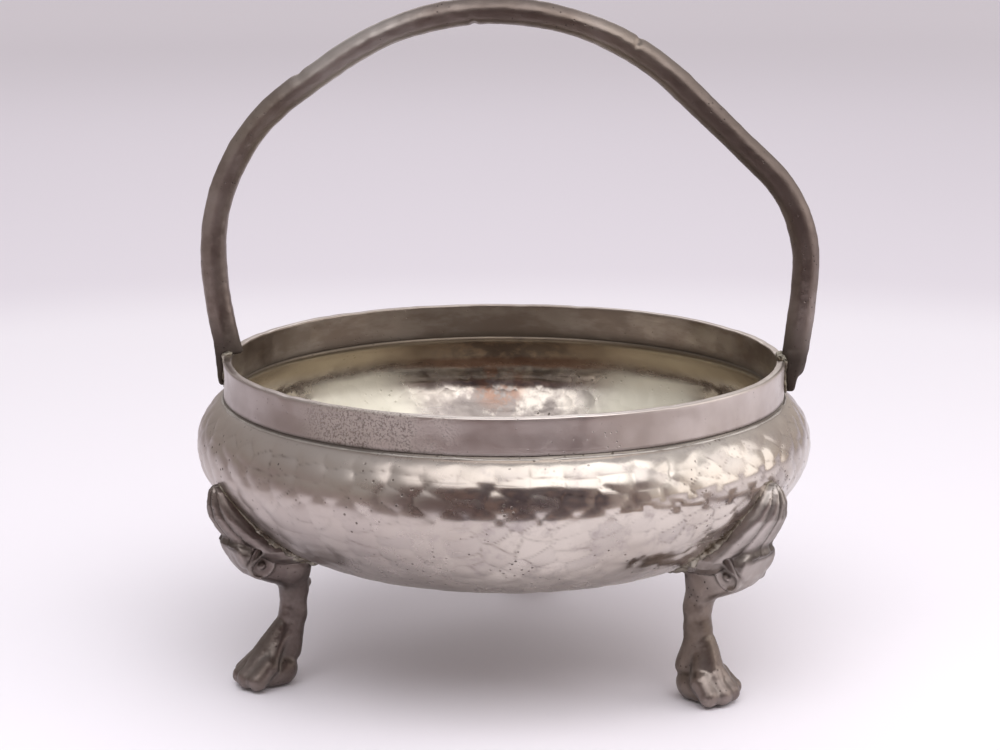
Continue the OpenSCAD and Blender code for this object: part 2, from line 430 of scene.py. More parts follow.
def turned_about_z(p, a):
    c, s = math.cos(a), math.sin(a)
    return np.column_stack([p[:, 0] * c - p[:, 1] * s, p[:, 0] * s + p[:, 1] * c, p[:, 2]])


# ------------------------------------------------------------------ handle


# Each step of the rod: [length, degrees that it turns], from the left end to the right.
ROD_STEPS = [(19.5, 9.5), (45, 60), (12, 0.5), (77.5, 78), (25, 0.5), (24.5, 49.5), (20, 6)]
ROD_START = (-58.8, RIM_Z - 1.6)
ROD_LEAN = 14.5


def rod_path():
    points = [np.array(ROD_START, float)]
    heading = math.radians(90 + ROD_LEAN)
    for length, turn in ROD_STEPS:
        n = max(2, int(length / 1.6))
        for _ in range(n):
            heading -= math.radians(turn) / n / 2
            points.append(points[-1] + length / n * np.array([math.cos(heading), math.sin(heading)]))
            heading -= math.radians(turn) / n / 2
    return np.array(points)


PATH = rod_path()
PATH_S = np.r_[0, np.cumsum(np.hypot(*np.diff(PATH, axis=0).T))]
# Nicks: [share of the rod's length, which way round it in degrees, depth, half-length along the rod]
NICKS = [
    (0.475, 250, 0.5, 0.7), (0.63, 60, 0.45, 0.5), (0.632, 130, 0.5, 0.5),
    (0.3, 95, 0.25, 0.9), (0.8, 20, 0.25, 0.8),
]
NICK_WIDTH = 38


def along_rod(x, z):
    """For points in the rod's plane: distance, place along the rod, and which side."""
    best, place, side = np.full(len(x), 1e9), np.zeros(len(x)), np.zeros(len(x))
    for a, b, s0 in zip(PATH[:-1], PATH[1:], PATH_S[:-1]):
        ab = b - a
        length = math.hypot(*ab)
        t = np.clip(((x - a[0]) * ab[0] + (z - a[1]) * ab[1]) / length**2, 0, 1)
        dx, dz = x - a[0] - t * ab[0], z - a[1] - t * ab[1]
        d = np.hypot(dx, dz)
        near = d < best
        best = np.where(near, d, best)
        place = np.where(near, s0 + t * length, place)
        side = np.where(near, (ab[0] * dz - ab[1] * dx) / length, side)
    return best, place, side


def tongue(p, thick_lip, thick_tip):
    """A flattened tongue down the outside of the band on the +X side."""
    rho = np.hypot(p[:, 0], p[:, 1])
    z = p[:, 2]
    share = np.clip((RIM_Z - z) / (RIM_Z - SEAM_Z), 0, 1)
    inner = RIM_R + FILM
    outer = inner + thick_lip + (thick_tip - thick_lip) * share
    half = 2.55 - 0.35 * share
    tip = SEAM_Z + 0.4 + half
    across = np.where(z < tip, np.hypot(p[:, 1], z - tip), np.abs(p[:, 1])) - half
    radial = np.maximum(inner - rho, rho - outer)
    top = z - RIM_Z - 1.6
    return smax(smax(across, radial, 0.7), np.where(p[:, 0] < 0, 50.0, top), 0.5)


def handle_field(p):
    x, y, z = p.T
    d, s, side = along_rod(x, z)
    turn = np.degrees(np.arctan2(side, y)) % 360
    # Uneven along and round the rod, as from a bench: six faint flats and a slight oval
    r = ROD_R + 0.05 * np.sin(s / 7.3) + 0.04 * np.sin(s / 3.1 + 1)
    r = r + 0.05 * np.cos(np.radians(turn) * 6 + s / 60)
    r = r - 0.10 * np.cos(2 * np.radians(turn) + 0.6 * np.sin(s / 35))
    body = np.hypot(d, y) - r
    for share, at, depth, half in NICKS:
        off = (turn - at + 180) % 360 - 180
        along = (s - share * PATH_S[-1]) / half
        body = body + depth * np.exp(-(along**2)) * np.exp(-((off / NICK_WIDTH) ** 2))
    mirrored = p * np.array([-1, 1, 1])
    tongues = np.minimum(tongue(mirrored, 1.8, 1.1), tongue(p, 3.1, 1.8))
    body = smin(body, tongues, 0.9)
    rho = np.hypot(x, y)
    notch = np.maximum(np.maximum(rho - RIM_R - FILM, z - RIM_Z), RIM_R - 8 - rho)
    body = smax(body, -notch, 0.25)
    body = smax(body, SEAM_Z - 0.3 - z, 0.2)
    return body + 0.02 * waves(p, 3.2, 77) + 0.035 * waves(p, 9, 78)


def build_handle(material):
    low, high = PATH.min(0) - 5, PATH.max(0) + 5
    points, faces = carve(handle_field, (low[0], -4.2, SEAM_Z - 2), (high[0], 4.2, high[1]), 0.42)
    darkening = np.clip(1 - (points[:, 2] - RIM_Z) / 9, 0, 1)
    points = turned_about_z(points, HANDLE_YAW)
    add_piece("handle_bent_rod", points, faces, "handle", material, {"dirt_and_shade": darkening})


def handle_solder_field(side_sign, fill):
    """The solder of one end: side_sign is 1 at +X, and fill is how far it spreads on the lip."""

    def field(p):
        q = p * np.array([side_sign, 1, 1])
        rho = np.hypot(q[:, 0], q[:, 1])
        z = q[:, 2]
        # Behind and round the tongue
        half = 3.0 + 0.5 * waves(p, 3, 40 + side_sign)
        tip = SEAM_Z + 3.0
        across = np.where(z < tip, np.hypot(q[:, 1], z - tip), np.abs(q[:, 1])) - half
        behind = smax(across, np.abs(rho - RIM_R - 0.15) - 0.35, 0.3)
        behind = smax(behind, z - RIM_Z - 0.3, 0.3)
        # A collar on the lip round the rod's shoulder
        collar = egg(q, (RIM_R - 0.9, 0, RIM_Z + 0.1), (1.3 + fill, 3.5, 0.95))
        collar = collar + 0.18 * waves(p, 2.2, 51 + side_sign)
        d = smin(behind, collar, 0.5)
        d = smax(d, MOUTH_R + 0.1 - rho, 0.2)
        d = smax(d, np.where(q[:, 0] < 0, 50.0, -50.0), 0.1)
        return d + 0.05 * waves(p, 1.2, 52)

    return field


def build_handle_solder(name, side_sign, fill, material):
    x0, x1 = (RIM_R - 5, RIM_R + 2.5) if side_sign > 0 else (-RIM_R - 2.5, -RIM_R + 5)
    field = handle_solder_field(side_sign, fill)
    points, faces = carve(field, (x0, -6, SEAM_Z - 3), (x1, 6, RIM_Z + 4), 0.22)
    add_piece(
        name + "_fillet", turned_about_z(points, HANDLE_YAW), faces, name, material,
        {"dirt_and_shade": np.full(len(points), 0.4)},
    )


# ------------------------------------------------------------------ feet


# Shapes that change with height: [height, size] pairs
PALMETTE_HALF = [
    (27.2, 3.0), (28.5, 6.6), (30, 8.5), (32, 9.2), (36, 8.3),
    (41, 6.1), (44.5, 4.0), (46.6, 2.4), (47.6, 0.7),
]
PALMETTE_STAND = [
    (26, 4.5), (30, 4.5), (34, 5.2), (37.4, 5.3),
    (40.6, 5.1), (43.9, 4.0), (46, 2.8), (47.5, 1.7),
]
LOBE_HALF = [(22.5, 1.2), (24, 4.1), (27, 6.3), (30, 7.4), (32.5, 7.3), (34.2, 6.4), (36, 5.2)]
LOBE_STAND = [(22, 6.4), (25, 8.0), (28, 8.2), (31.3, 7.6), (33, 6.6), (34.4, 5.2), (36, 3.8)]
# The knee's underside sweeps up and out from the leg: [distance out, height] pairs
KNEE_UNDER = [(48.0, 19.6), (51.5, 21.0), (55.5, 22.9), (59.4, 25.6), (61.8, 28.4), (63.6, 32.0)]
PALMETTE_LOW, PALMETTE_HIGH = PALMETTE_HALF[0][0], PALMETTE_HALF[-1][0]


def read_off(pairs, at):
    return np.interp(at, *zip(*pairs))


def leaf_layer(p):
    """How far points are outside the palmette's outline, over the bowl, and across."""
    rho = np.hypot(p[:, 0], p[:, 1])
    z = p[:, 2]
    around = rho * np.arctan2(p[:, 1], p[:, 0])
    outside = (np.abs(around) - read_off(PALMETTE_HALF, z)) * 0.86
    outside = np.maximum(outside, (z - PALMETTE_HIGH - 0.2) * 0.9)
    outside = np.maximum(outside, (PALMETTE_LOW - 0.2 - z) * 0.8)
    return outside, bowl_gap(rho, z), around


def ridges(u, spacing):
    """Rounded ridges with narrow grooves between them: 1 on a ridge, 0 in a groove."""
    return np.abs(np.cos(math.pi * u / spacing)) ** 0.8


def palmette_field(p):
    """The leaf that lies on the bowl, with ridges that run up to its tip."""
    outside, h, around = leaf_layer(p)
    z = p[:, 2]
    u = around / read_off(PALMETTE_HALF, z)
    stand = read_off(PALMETTE_STAND, z)
    grooves = np.minimum(0.5, 0.3 * stand) * (1 - ridges(u, 0.42))
    stand = stand * (1 - 0.6 * np.clip(u * u, 0, 1)) - grooves
    return smax(outside, (h - stand) * 0.75, 0.5)


def lobe_field(p):
    """The leaf's lower lobe, which stands off the bowl over the root, in soft flutes."""
    _, h, around = leaf_layer(p)
    x, _, z = p.T
    half = read_off(LOBE_HALF, z)
    u = around / half
    flutes = 1 - ridges(u, 0.62)
    stand = read_off(LOBE_STAND, z) * (1 - 0.16 * np.clip(u * u, 0, 1)) - 0.3 * flutes
    top = z - 35.2 + 0.25 * flutes + 0.05 * around * around
    lobe = smax(smax((np.abs(around) - half) * 0.85, top, 1.8), (h - stand) * 0.75, 2.0)
    return smax(lobe, 60.2 - 0.5 * (z - 26) - x, 2.0)


def knee_field(m):
    """The knee, with a side boss, its C-scroll and the eye of the scroll.

    In m, as in the leg and the paw, y is the distance from the middle, so that both sides are alike."""
    x, ay, z = m.T
    dx, dz = x - 57.2, z - 28.3
    reach = np.hypot(dx, dz)
    boss = smax(reach - 3.2, ay - 5.3, 0.6)
    turn = np.degrees(np.arctan2(dz, dx))
    scroll = np.hypot(reach - 2.7, ay - 5.3) - 0.55
    scroll = scroll + 1.2 * (1 - smooth(np.abs((turn - 215 + 180) % 360 - 180), 20, 60))
    eye = np.hypot(reach, 0.8 * (ay - 5.0)) - 0.85
    knee = smax(limb(m, (49.0, 0, 25.4), (58.6, 0, 29.6), 4.2, 4.9), ay - 4.4, 1.2)
    for part, fillet in ((boss, 0.6), (scroll, 0.3), (eye, 0.5)):
        knee = smin(knee, part, fillet)
    return knee


def leg_field(m):
    """The leg, slim and rather flat on its sides."""
    leg = limb(m, (48.0, 0, 25.5), (47.2, 0, 20.0), 3.8, 2.95)
    leg = smin(leg, limb(m, (47.2, 0, 20.0), (47.4, 0, 15.2), 2.95, 2.8), 0.8)
    leg = smin(leg, limb(m, (47.4, 0, 15.2), (49.4, 0, 7.5), 2.8, 3.3), 1.0)
    return smax(leg, m[:, 1] - 2.75, 0.9)


def paw_field(m):
    """The heel, the instep and the tendons, which fan down to two toes on each side."""
    paw = smin(egg(m, (51.0, 0, 3.3), (3.9, 4.0, 3.9)), egg(m, (54.4, 0, 2.4), (5.8, 4.5, 2.9)), 1.0)
    paw = smin(paw, limb(m, (49.8, 0, 11.6), (55.2, 0, 4.6), 2.3, 3.0), 1.2)
    for i, toe_y in enumerate((1.55, 4.35)):
        tip_x = 58.9 - 0.085 * toe_y * toe_y
        knuckle = np.array([tip_x - 2.7, toe_y * 0.9, 4.9])
        tendon = limb(m, (50.4, 0.5 + 0.3 * toe_y, 12.6 - 2.0 * i), knuckle, 0.5, 1.45)
        paw = smin(paw, tendon, 1.7)
        paw = smin(paw, limb(m, knuckle, (tip_x, toe_y, 2.3), 1.85, 2.05), 0.9)
    return paw


def foot_field(p):
    """A foot that points along +X, before its own paw and knee are moved out."""
    x, y, z = p.T
    m = np.column_stack([x, np.abs(y), z])
    body = smin(smin(palmette_field(p), lobe_field(p), 0.8), knee_field(m), 0.45)
    # A deep groove parts the boss from the lobe
    body = smax(body, -limb(m, (61.0, 6.6, 25.0), (59.2, 6.8, 32.4), 0.75, 0.85), 0.6)
    body = smax(body, (read_off(KNEE_UNDER, x) - z) * 0.8, 2.0)
    body = smin(body, leg_field(m), 1.3)
    body = smin(body, paw_field(m), 0.7)
    # A casting burr down the back of the leg
    body = smin(body, egg(p, (44.25, 0.3, 21.6), (0.7, 0.5, 1.1)), 0.4)
    body = body + 0.02 * waves(p, 3.4, 91) + 0.008 * waves(p, 1.2, 92)
    # It reaches half a millimetre into the bowl's face, and stands flat
    body = smax(body, -(bowl_gap(np.hypot(x, y), z) + 0.5), 0.3)
    return smax(body, -z, 0.25)


def lowered(points, drop):
    """The leaf's upper part slid down the bowl's face, by as much as the drop at its tip."""
    z = points[:, 2]
    line = wall_profile(RIM_R, 0, 0.5)[0][::-1]
    line = line[line[:, 1] < shoulder_c[1]]
    new_z = z - drop * smooth(z, 29, 46)
    slide = np.interp(new_z, line[:, 1], line[:, 0]) - np.interp(z, line[:, 1], line[:, 0])
    scale = 1 + slide / np.hypot(points[:, 0], points[:, 1])
    return np.column_stack([points[:, 0] * scale, points[:, 1] * scale, new_z])


def build_feet(cast, solder):
    points, faces = carve(foot_field, (41.5, -11, -1.2), (70.5, 11, 50.5), 0.3)
    normals = gradient(foot_field, points)
    normals /= np.maximum(norm(normals), 1e-9)[:, None]
    # Darker where the surface bends inwards, and worn where it bends outwards
    hollow = np.clip((0.9 - foot_field(points + 0.9 * normals)) / 0.55, 0, 1)
    worn = np.clip((foot_field(points - 0.8 * normals) + 0.8) / 0.35, 0, 1)
    crust, crust_faces = carve(foot_solder_field, (37, -13, 23), (70, 13, 51), 0.3)
    z = points[:, 2]
    for name, direction, paw_out, knee_out, drop in FEET:
        moved = lowered(points, drop)
        moved[:, 0] += paw_out * (1 - smooth(z, 4, 16))
        moved[:, 0] += knee_out * (1 - smooth(z, 22, 38)) * smooth(z, 5, 15)
        leaf = smooth(z, 18, 27)[:, None]
        moved = moved * (1 - leaf) + turned_about_z(moved, LEAF_TURN) * leaf
        facing = math.radians(direction)
        add_piece(
            f"foot_{name}_casting", turned_about_z(moved, facing), faces,
            f"foot_{name}", cast, {"dirt_and_shade": hollow, "worn": worn},
        )
        lumps = turned_about_z(lowered(crust, drop), facing + LEAF_TURN)
        add_piece(
            f"foot_solder_{name}_lumps", lumps, crust_faces,
            f"foot_solder_{name}", solder, {"dirt_and_shade": np.full(len(crust), 0.7)},
        )


def foot_solder_field(p):
    """Lumps of solder round the palmette's edge, thin at its tip."""
    outside, h, _ = leaf_layer(p)
    lumps = 0.45 * waves(p, 3.0, 61) + 0.25 * waves(p, 1.4, 62)
    low = 0.25 + 0.75 * (1 - smooth(p[:, 2], 34, 42))
    edge = outside - low * (0.7 + 0.4 * lumps)
    thick = low * (0.65 + 0.35 * lumps)
    return smax(smax(edge * 0.9, h - thick, 0.5), -(h + 0.4), 0.2)


# ------------------------------------------------------------------ materials


def join(tree, value, socket):
    """A value or a colour put on a socket, or another socket linked to it."""
    if isinstance(value, bpy.types.NodeSocket):
        tree.links.new(value, socket)
    elif isinstance(value, tuple) and socket.type == "RGBA":
        socket.default_value = (*value, 1)
    else:
        socket.default_value = value


def add_node(tree, kind, inputs=None, **settings):
    n = tree.nodes.new(kind)
    for key, value in settings.items():
        setattr(n, key, value)
    for key, value in (inputs or {}).items():
        join(tree, value, n.inputs[key])
    return n


class Paint:
    """Short names for the nodes of one material."""

    def __init__(self, name):
        self.material = bpy.data.materials.new(name)
        self.material.use_nodes = True
        self.tree = self.material.node_tree
        self.tree.nodes.clear()
        self.where = add_node(self.tree, "ShaderNodeTexCoord").outputs["Object"]

    def noise(self, scale, detail=3, rough=0.55, where=None):
        inputs = {"Vector": where or self.where, "Scale": scale, "Detail": detail, "Roughness": rough}
        return add_node(self.tree, "ShaderNodeTexNoise", inputs).outputs["Fac"]

    def cells(self, scale):
        inputs = {"Vector": self.where, "Scale": scale}
        return add_node(self.tree, "ShaderNodeTexVoronoi", inputs).outputs["Distance"]

    def stretched(self, scale, turn=(0, 0, 0)):
        return add_node(
            self.tree, "ShaderNodeMapping", {"Vector": self.where, "Scale": scale, "Rotation": turn}
        ).outputs["Vector"]

    def attribute(self, name):
        return add_node(self.tree, "ShaderNodeAttribute", attribute_name=name).outputs["Fac"]

    def level(self, value, lo, hi, out_lo=0.0, out_hi=1.0):
        n = add_node(
            self.tree, "ShaderNodeMapRange",
            {"Value": value, "From Min": lo, "From Max": hi, "To Min": out_lo, "To Max": out_hi},
            interpolation_type="SMOOTHSTEP",
        )
        return n.outputs["Result"]

    def math(self, kind, *values):
        """The values added, multiplied or otherwise taken together, two at a time."""
        total = values[0]
        for value in values[1:]:
            n = add_node(self.tree, "ShaderNodeMath", {0: total, 1: value}, operation=kind)
            total = n.outputs[0]
        return total

    def times(self, *values):
        return self.math("MULTIPLY", *values)

    def plus(self, *values):
        return self.math("ADD", *values)

    def less(self, *values):
        return self.math("SUBTRACT", *values)

    def mix(self, a, b, share):
        n = add_node(self.tree, "ShaderNodeMix", {0: share, 6: a, 7: b}, data_type="RGBA")
        return n.outputs[2]

    def place(self, axis):
        return add_node(self.tree, "ShaderNodeSeparateXYZ", {"Vector": self.where}).outputs[axis]

    def near(self, centre, inner, outer):
        """One near a place in millimetres, falling to nought."""
        away = add_node(
            self.tree, "ShaderNodeVectorMath",
            {0: self.where, 1: tuple(c * MM for c in centre)}, operation="DISTANCE",
        ).outputs["Value"]
        return self.level(away, inner * MM, outer * MM, 1.0, 0.0)

    def bump(self, height, distance):
        inputs = {"Height": height, "Distance": distance, "Strength": 1.0}
        return add_node(self.tree, "ShaderNodeBump", inputs).outputs["Normal"]

    def finish(self, colour, roughness, metallic=1.0, **more):
        inputs = {"Base Color": colour, "Roughness": roughness, "Metallic": metallic, **more}
        shader = add_node(self.tree, "ShaderNodeBsdfPrincipled", inputs)
        out = add_node(self.tree, "ShaderNodeOutputMaterial")
        self.tree.links.new(shader.outputs["BSDF"], out.inputs["Surface"])
        return self.material


def pits_and_scratches(m, pit_scale, pit_share, scratch_scale):
    """Shares of dark pits and of fine scratches."""
    patchy = m.level(m.noise(90, 2), 0.45, 0.62)
    pits = m.times(m.level(m.cells(pit_scale), pit_share, pit_share * 0.45), patchy)
    lines = m.noise(scratch_scale, 2, 0.5, m.stretched((0.05, 0.05, 1.0), (0.2, 0.5, 0.0)))
    return pits, m.level(lines, 0.66, 0.74)


def hammered_pewter():
    m = Paint("hammered_pewter")
    inside = m.attribute("inside")
    height = m.place("Z")
    # Blotches, then facets that each have a tone of their own on the upper rows
    colour = m.mix((0.50, 0.445, 0.395), (0.645, 0.59, 0.53), m.level(m.noise(38, 4, 0.6), 0.35, 0.65))
    colour = m.mix(colour, (0.44, 0.39, 0.36), m.level(m.noise(240, 4, 0.65), 0.5, 0.75))
    upper = m.math("MAXIMUM", m.level(height, 0.0335, 0.0385), inside)
    facet = m.times(m.level(m.attribute("facet"), 0.45, 1.0), upper)
    colour = m.mix(colour, (0.37, 0.33, 0.32), m.times(facet, 0.42))
    # Tarnished and rougher towards the left, with painted shade there that is darker low down
    drift = m.plus(m.place("X"), m.times(m.less(m.noise(40, 3), 0.5), 0.03))
    tarnish_and_shade = m.times(m.level(drift, 0.006, -0.042), m.less(1.0, inside))
    shaded_tarnish_tone = m.mix((0.47, 0.41, 0.38), (0.30, 0.255, 0.24), m.level(height, 0.0450, 0.0365))
    colour = m.mix(colour, shaded_tarnish_tone, m.times(tarnish_and_shade, 0.8))
    # Painted shade along the creases between the facets, patchy and strongest on the upper rows, and dirt
    # in the pits
    crease_shade = m.times(m.attribute("crease"), m.level(m.noise(55, 3), 0.40, 0.62, 0.15, 1.0))
    crease_shade = m.times(crease_shade, m.plus(m.times(upper, 0.6), 0.15))
    colour = m.mix(colour, (0.16, 0.13, 0.115), crease_shade)
    pits, lines = pits_and_scratches(m, 620, 0.22, 700)
    colour = m.mix(colour, (0.10, 0.085, 0.075), m.times(pits, 0.8))
    # Inside: an olive-brown tide mark under the band, paler at the back
    ragged = m.plus(height, m.times(m.less(m.noise(70, 4), 0.5), 0.004))
    tide = m.times(inside, m.level(ragged, 0.0500, 0.0540))
    colour = m.mix(colour, (0.52, 0.43, 0.31), m.times(tide, 0.85))
    colour = m.mix(colour, (0.95, 0.78, 0.60), m.times(tide, m.near((0, 66, 56), 12, 42), 0.85))
    # Two pale cream patches, rough and less metallic, and a grey stain between them
    cream = m.math("MINIMUM", m.plus(m.near((-31, 47, 44), 9, 20), m.near((31, 47, 44), 9, 20)), 1.0)
    cream = m.times(inside, cream, m.level(ragged, 0.0515, 0.0490))
    colour = m.mix(colour, (0.90, 0.86, 0.73), m.times(cream, 0.9))
    middle = m.times(m.near((1, 58, 42), 8, 26), m.level(m.noise(110, 4, 0.65), 0.42, 0.58))
    colour = m.mix(colour, (0.22, 0.19, 0.18), m.times(inside, middle, 0.85))
    # A rusty line along the tide mark at the back, with a drip below it
    line = m.times(m.level(ragged, 0.0500, 0.0512), m.level(ragged, 0.0540, 0.0524))
    line = m.times(line, m.near((0, 64, 52), 14, 30))
    drip = m.times(m.near((-1, 64, 47), 3, 9), m.level(m.noise(190, 4, 0.7), 0.42, 0.58))
    colour = m.mix(colour, (0.34, 0.185, 0.125), m.times(inside, m.math("MAXIMUM", line, drip), 0.75))
    # A greenish, darker underside, a painted reflection of the shaded floor below; then soiling along the
    # neck outside, and a painted shadow under the band inside
    colour = m.mix(colour, (0.33, 0.335, 0.30), m.level(height, 0.0275, 0.0235, 0.0, 0.6))
    colour = m.mix(colour, (0.07, 0.055, 0.045), m.times(m.attribute("dirt_and_shade"), 0.9))
    rough = m.plus(
        m.level(m.noise(160, 4, 0.6), 0.3, 0.7, 0.13, 0.25),
        m.times(pits, 0.25),
        m.times(lines, 0.10),
        m.times(tarnish_and_shade, 0.15),
        m.level(height, 0.0340, 0.0270, 0.0, 0.10),
        m.times(facet, 0.05),
        m.times(m.math("MAXIMUM", tide, cream), 0.24),
    )
    # Fine grain, pits and scratches, and small hammer marks inside
    relief = m.plus(m.times(m.noise(900, 3, 0.6), 0.12), m.times(m.noise(260, 2), 0.35))
    relief = m.less(relief, m.times(pits, 0.8), m.times(lines, 0.12))
    cell = m.cells(330)
    relief = m.plus(relief, m.times(cell, cell, inside, 1.2))
    return m.finish(colour, rough, m.less(1.0, m.times(cream, 0.55)), Normal=m.bump(relief, 0.00007))


def band_pewter():
    m = Paint("band_pewter")
    colour = m.mix((0.48, 0.42, 0.385), (0.61, 0.55, 0.51), m.level(m.noise(48, 4, 0.6), 0.35, 0.65))
    # Painted shade at the left, and a painted highlight in front
    colour = m.mix(colour, (0.36, 0.31, 0.30), m.times(m.near((-52, -28, 62.5), 14, 34), 0.6))
    colour = m.mix(colour, (0.82, 0.755, 0.72), m.times(m.near((2, -60, 62.5), 12, 38), 0.65))
    # A rough, pitted patch on the front left
    patch = m.times(m.near((-26, -54, 62.5), 9, 21), m.level(m.noise(95, 3), 0.32, 0.52))
    patch_pits = m.times(patch, m.level(m.noise(2300, 2, 0.6), 0.46, 0.62))
    colour = m.mix(colour, (0.24, 0.195, 0.175), m.times(patch_pits, 0.7))
    pits, lines = pits_and_scratches(m, 800, 0.17, 900)
    colour = m.mix(colour, (0.11, 0.09, 0.08), m.times(pits, 0.7))
    # Stained inside, with dirt in the joint below, which widens inside into a painted shadow under the band
    inside = m.attribute("inside")
    stain = m.times(inside, m.level(m.noise(60, 4, 0.65, m.stretched((1, 1, 3.0))), 0.35, 0.6))
    colour = m.mix(colour, (0.33, 0.28, 0.225), m.times(inside, 0.55))
    colour = m.mix(colour, (0.17, 0.12, 0.095), m.times(stain, 0.5))
    dirt_and_shade = m.attribute("dirt_and_shade")
    colour = m.mix(colour, (0.10, 0.08, 0.065), m.times(dirt_and_shade, 0.85))
    rough = m.level(m.noise(140, 4, 0.6), 0.3, 0.7, 0.28, 0.42)
    rough = m.plus(rough, m.times(patch, 0.2), m.times(dirt_and_shade, 0.2))
    # Drawn lines along the strip, pits and scratches
    relief = m.times(m.noise(420, 3, 0.6, m.stretched((0.12, 0.12, 2.2))), 0.22)
    relief = m.less(relief, m.times(patch_pits, 0.9), m.times(pits, 0.8), m.times(lines, 0.15))
    return m.finish(colour, rough, Normal=m.bump(relief, 0.00008))


def aged_pewter(name, dark, light, smoothest, roughest, grain, patches):
    """Dull brownish pewter, paler where it is worn and dark in its hollows.

    grain is [scale, depth in metres], and patches are [centre and reach in millimetres, tone, share]."""
    m = Paint(name)
    colour = m.mix(dark, light, m.level(m.noise(75, 5, 0.62), 0.35, 0.68))
    brown = m.level(m.noise(42, 3, 0.5, m.stretched((1, 1, 0.5))), 0.45, 0.65, 0.0, 0.45)
    colour = m.mix(colour, (0.20, 0.16, 0.115), brown)
    for centre, reach, tone, share in patches:
        colour = m.mix(colour, tone, m.times(m.near(centre, reach * 0.3, reach), share))
    worn, dirt_and_shade = m.attribute("worn"), m.attribute("dirt_and_shade")
    colour = m.mix(colour, (0.46, 0.42, 0.39), m.times(worn, 0.4))
    colour = m.mix(colour, (0.06, 0.047, 0.038), m.times(dirt_and_shade, 0.8))
    pits, lines = pits_and_scratches(m, 760, 0.19, 800)
    colour = m.mix(colour, (0.06, 0.05, 0.045), m.times(pits, 0.8))
    rough = m.level(m.noise(190, 4, 0.6), 0.3, 0.7, smoothest, roughest)
    rough = m.less(m.plus(rough, m.times(dirt_and_shade, 0.25)), m.times(worn, 0.10))
    relief = m.less(m.noise(grain[0], 4, 0.6), m.times(pits, 0.9), m.times(lines, 0.15))
    return m.finish(colour, rough, Normal=m.bump(relief, grain[1]))


def solder_material():
    m = Paint("dull_solder")
    colour = m.mix((0.20, 0.17, 0.13), (0.40, 0.37, 0.31), m.level(m.noise(210, 4, 0.65), 0.38, 0.62))
    colour = m.mix(colour, (0.56, 0.53, 0.50), m.attribute("worn"))
    dark = m.level(m.noise(330, 4, 0.7), 0.48, 0.6)
    colour = m.mix(colour, (0.07, 0.055, 0.045), m.times(dark, m.attribute("dirt_and_shade"), 0.9))
    rough = m.level(m.noise(260, 3, 0.6), 0.3, 0.7, 0.36, 0.6)
    return m.finish(colour, rough, Normal=m.bump(m.noise(700, 4, 0.65), 0.00015))


# ------------------------------------------------------------------ band and seam


def round_outline(corners, spacing):
    """Points round a closed outline, with long sides divided."""
    out = []
    for a, b in zip(corners, corners[1:] + corners[:1]):
        a, b = np.array(a, float), np.array(b, float)
        n = max(1, int(round(math.hypot(*(b - a)) / spacing)))
        out += [a + (b - a) * i / n for i in range(n)]
    return np.array(out)


def arc(centre, r, a0, a1, n):
    """n points along an arc, from a0 to a1 degrees."""
    return [
        (centre[0] + r * math.cos(math.radians(a)), centre[1] + r * math.sin(math.radians(a)))
        for a in np.linspace(a0, a1, n)
    ]


def build_band(material):
    lip_out, lip_in, low = 0.5, 0.35, 0.15
    corners = arc((RIM_R - low, SEAM_Z + low), low, -90, 0, 3)
    corners += arc((RIM_R - lip_out, RIM_Z - lip_out), lip_out, 0, 90, 6)
    corners += arc((MOUTH_R + lip_in, RIM_Z - lip_in), lip_in, 90, 180, 5)
    corners += arc((MOUTH_R + low, SEAM_Z + low), low, 180, 270, 3)
    outline = round_outline(corners, 0.55)
    dent_count, dent_widths, dent_depths = 26, (0.7, 2.6), (0.03, 0.12)

    def shape(points, angle):
        """Beaten slightly out of true, hollow outside, with a lip that waves and has small dents."""
        x, y, z = points.T
        rho = np.hypot(x, y)
        up = np.clip((z - SEAM_Z) / (RIM_Z - SEAM_Z), 0, 1)
        unit = np.column_stack([np.cos(angle), np.sin(angle)])
        flat = np.column_stack([unit * RIM_R, np.zeros(len(z))])
        wave = 0.10 * waves(flat, 60, 3) + 0.05 * waves(flat, 17, 4) + 0.02 * waves(points, 6, 8)
        outer = smooth(rho, MOUTH_R + 0.6, RIM_R - 0.2)
        hollow = -0.12 * outer * np.sin(math.pi * up) ** 2
        lift = up * (0.06 * waves(flat, 38, 9) + 0.02 * waves(flat, 9, 10) - 0.06)
        dented = np.zeros(len(z))
        rng = np.random.default_rng(17)
        for _ in range(dent_count):
            a = rng.uniform(0, 2 * math.pi)
            width = rng.uniform(*dent_widths) / RIM_R
            off = np.abs((angle - a + math.pi) % (2 * math.pi) - math.pi)
            dented += rng.uniform(*dent_depths) * np.exp(-((off / width) ** 2))
        move = (wave * smooth(up, -0.2, 0.4) + hollow)[:, None] * unit
        points = points + np.column_stack([move, lift - smooth(up, 0.85, 1.0) * dented])
        inside = (rho < MOUTH_R + 0.2).astype(float)
        # Soiling in the joint at the seam, widened inside into a painted shadow under the band
        dirt_and_shade = np.exp(-(((z - SEAM_Z) / (0.35 + 0.9 * inside)) ** 2)) * 0.9
        return points, {"inside": inside, "dirt_and_shade": dirt_and_shade}

    build_turned("rim_band_strip", outline, shape, "rim_band", material)


